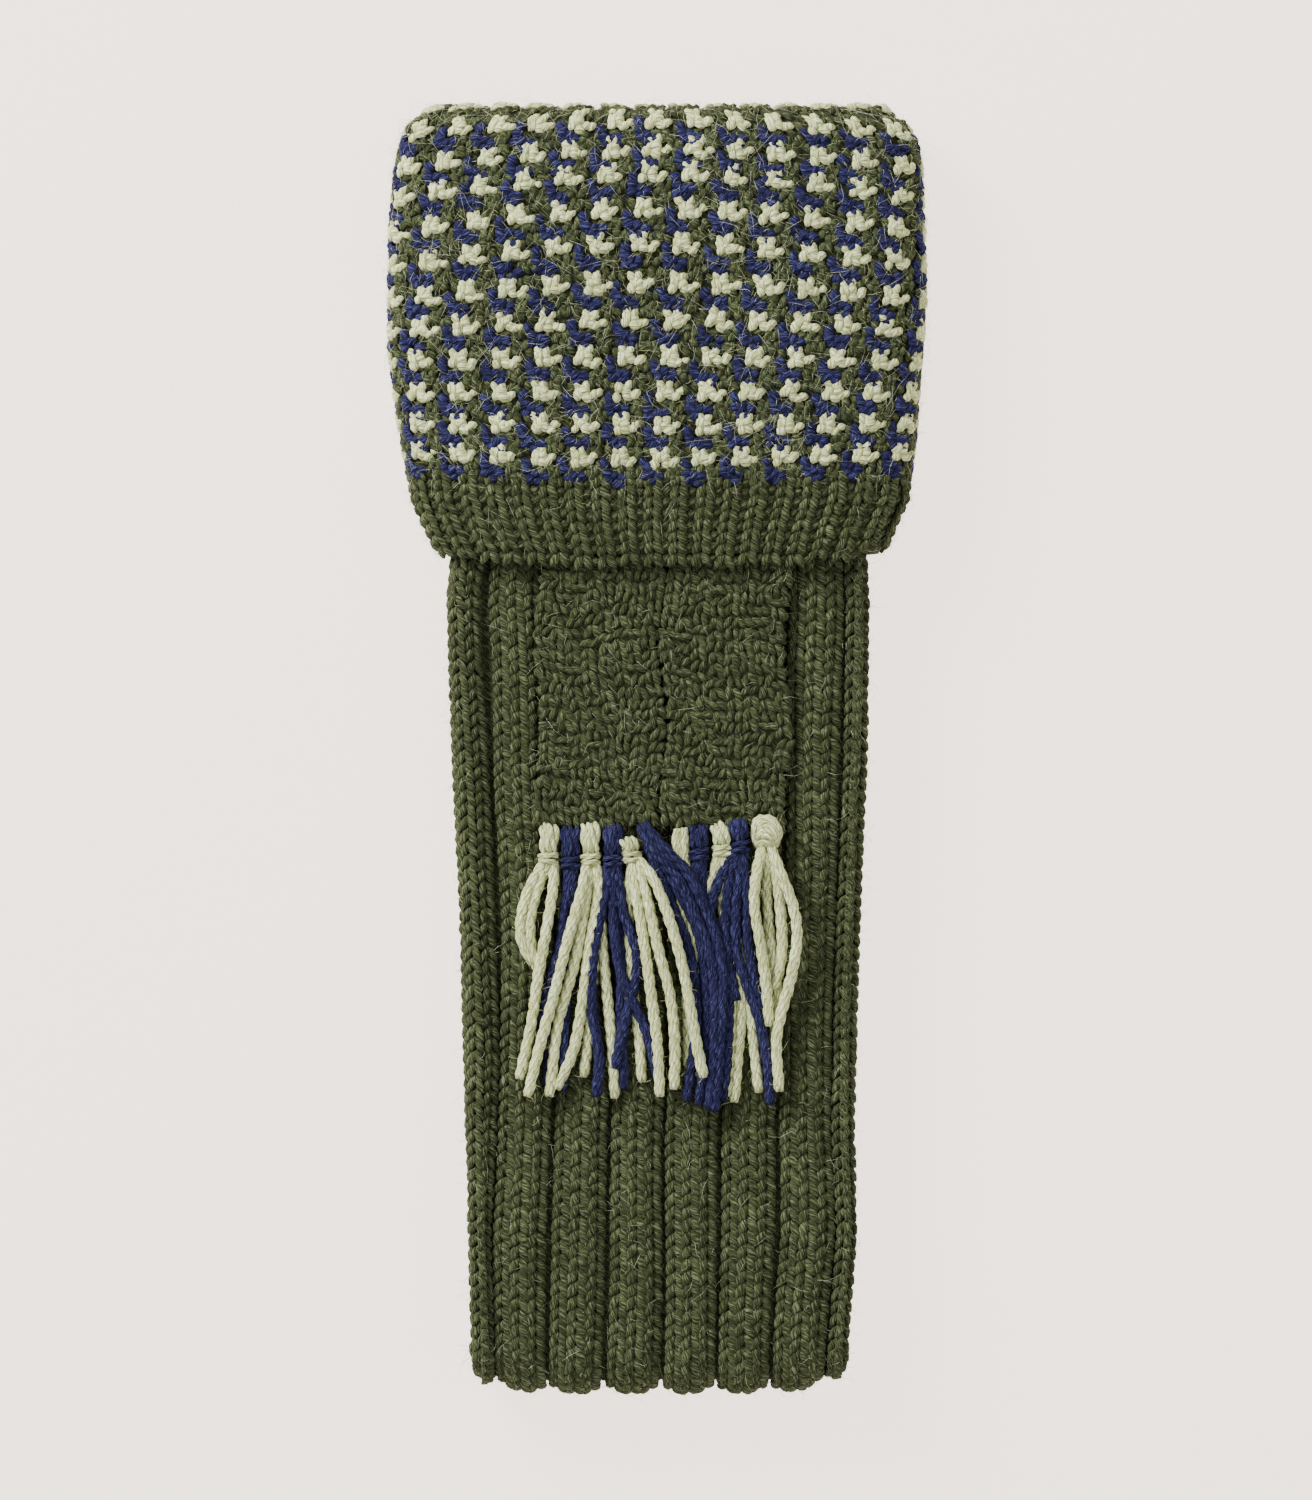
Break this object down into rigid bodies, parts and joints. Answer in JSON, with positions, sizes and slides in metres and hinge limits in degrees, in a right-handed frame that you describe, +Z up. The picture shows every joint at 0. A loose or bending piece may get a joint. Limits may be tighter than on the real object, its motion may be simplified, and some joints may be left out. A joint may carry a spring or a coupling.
{
  "type": "field sock",
  "caption": "Ribbed wool field sock lying flat, foot folded under, with a patterned turned-over cuff and a fringed garter tie.",
  "frame": {"origin": "on the surface that the sock lies on, under the middle of its outline", "axes": "+Y from the fold at the ankle to the cuff's top, +Z up from the surface through the sock's front, +X to the right of someone who looks down on the front"},
  "size_m": [0.1334, 0.3232, 0.0276],
  "materials": {
    "green_wool": "ribbed wool knit in dark moss green with a heathered yarn",
    "patterned_knit": "stranded wool knit in cream, navy and moss green with a bumpy face",
    "cream_wool": "plied cream wool yarn",
    "navy_wool": "plied navy wool yarn"
  },
  "bodies": {
    "root": {"leg": "green_wool", "foot": "green_wool", "heel": "green_wool", "toe": "green_wool", "cuff": "patterned_knit", "cuff_border": "green_wool", "garter_band": "green_wool", "garter_tab_left": "green_wool", "garter_tab_right": "green_wool", "tassel_01": "cream_wool", "tassel_02": "navy_wool", "tassel_03": "cream_wool", "tassel_04": "navy_wool", "tassel_05": "cream_wool", "tassel_06": "navy_wool", "tassel_07": "cream_wool", "tassel_08": "navy_wool", "tassel_09": "cream_wool", "tassel_10": "navy_wool", "tassel_11": "cream_wool"}
  },
  "joints": []
}
